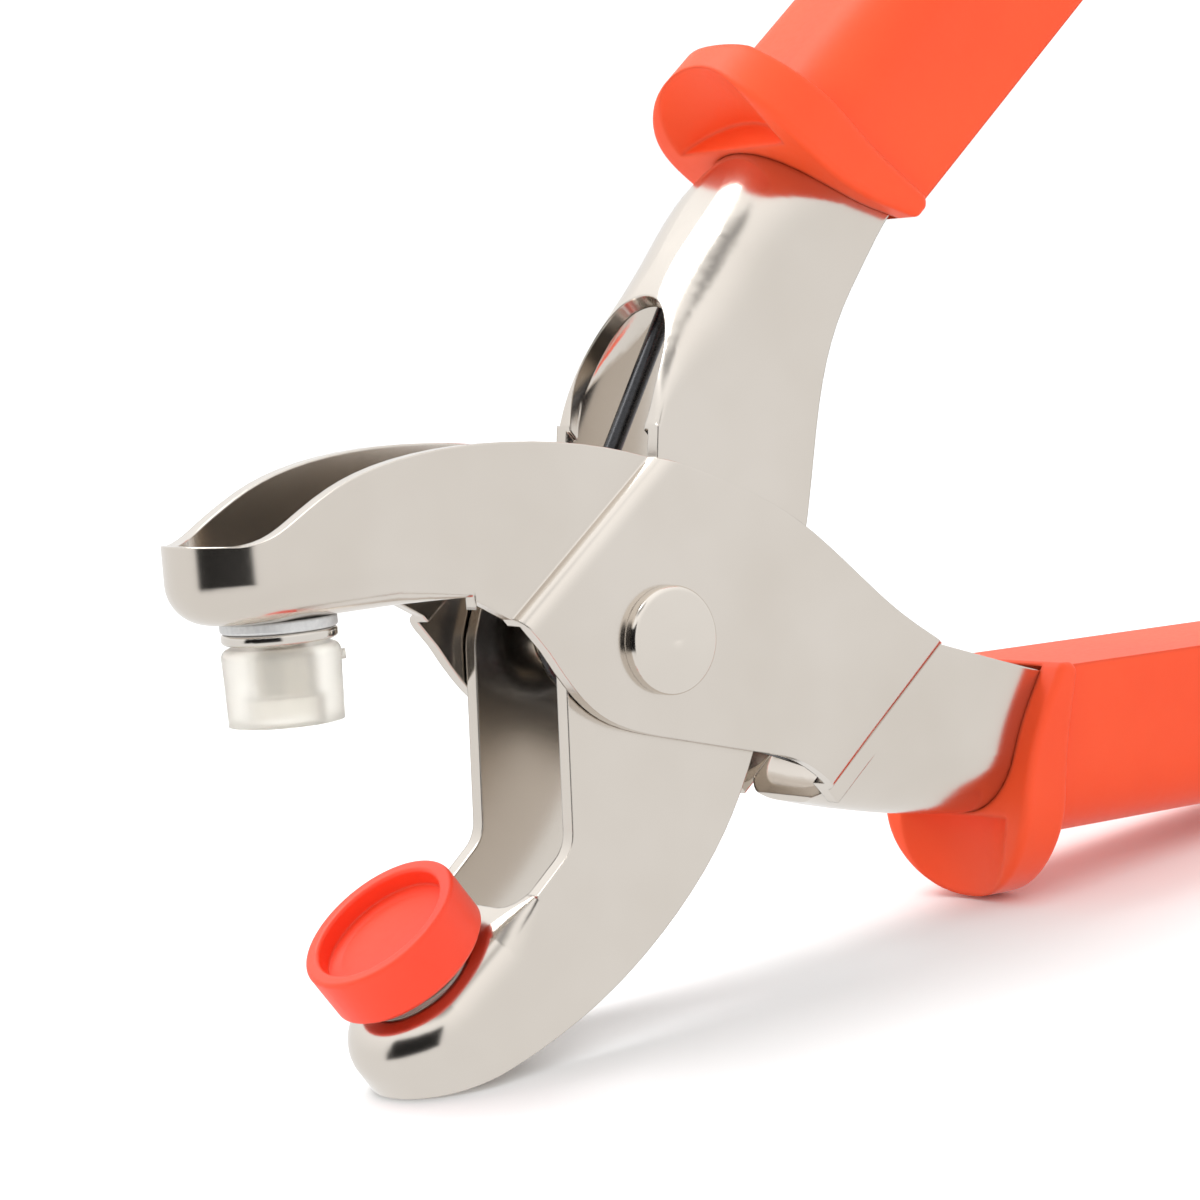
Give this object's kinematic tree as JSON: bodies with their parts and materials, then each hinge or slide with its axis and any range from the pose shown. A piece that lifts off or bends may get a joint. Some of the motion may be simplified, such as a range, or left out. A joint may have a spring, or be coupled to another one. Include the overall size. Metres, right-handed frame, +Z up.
{
  "type": "rivet setter",
  "caption": "Spring-open hand plier that presses rivets and snaps between a clear die cap and a shallow die cup, with two vinyl grips.",
  "frame": {"origin": "middle of the tool's footprint, in the plane it stands on", "axes": "+Z up, X along the tool with the jaws at -X, Y along the pivot rivet"},
  "size_m": [0.1623, 0.0241, 0.1251],
  "materials": {
    "plated_steel": "satin-bright nickel plate on stamped sheet",
    "rivet_steel": "bright nickel plated rivet",
    "washer_steel": "dull grey plated washer",
    "die_steel": "bright nickel plated turned steel",
    "spring_steel": "oiled black spring wire",
    "clear_plastic": "frosted translucent moulded plastic",
    "orange_plastic": "satin moulded plastic",
    "grip_vinyl": "soft dipped vinyl with a slight sheen"
  },
  "bodies": {
    "outer": {"outer_lever": "plated_steel", "pivot_rivet": "rivet_steel", "rivet_washer": "washer_steel", "spacer_sleeve": "die_steel", "return_spring": "spring_steel", "lower_grip": "grip_vinyl", "upper_die_post": "die_steel", "upper_die_washer": "washer_steel", "upper_lock_washer": "washer_steel", "upper_post_nut": "die_steel"},
    "inner": {"inner_lever": "plated_steel", "upper_grip": "grip_vinyl", "lower_die_post": "die_steel", "lower_die_washer": "washer_steel", "lower_lock_washer": "washer_steel", "lower_post_nut": "die_steel"},
    "cap": {"clear_cap": "clear_plastic"},
    "cup": {"orange_cup": "orange_plastic"}
  },
  "joints": [
    {"name": "jaw_pivot", "type": "hinge", "parent": "outer", "child": "inner", "pos_m": [-0.03325, 0, 0.03828], "axis": [0, 1, 0], "range_deg": [0, 36], "stiffness_Nm_per_rad": 0.95, "springref_deg": -36.1, "deforming": ["return_spring"]},
    {"name": "cap_spin", "type": "hinge", "parent": "outer", "child": "cap", "pos_m": [-0.0713, 0, 0.04174], "axis": [-0.0722, 0, -0.9974], "continuous": true},
    {"name": "cup_spin", "type": "hinge", "parent": "inner", "child": "cup", "pos_m": [-0.06335, 0, 0.01434], "axis": [-0.5278, 0, 0.8493], "continuous": true}
  ]
}
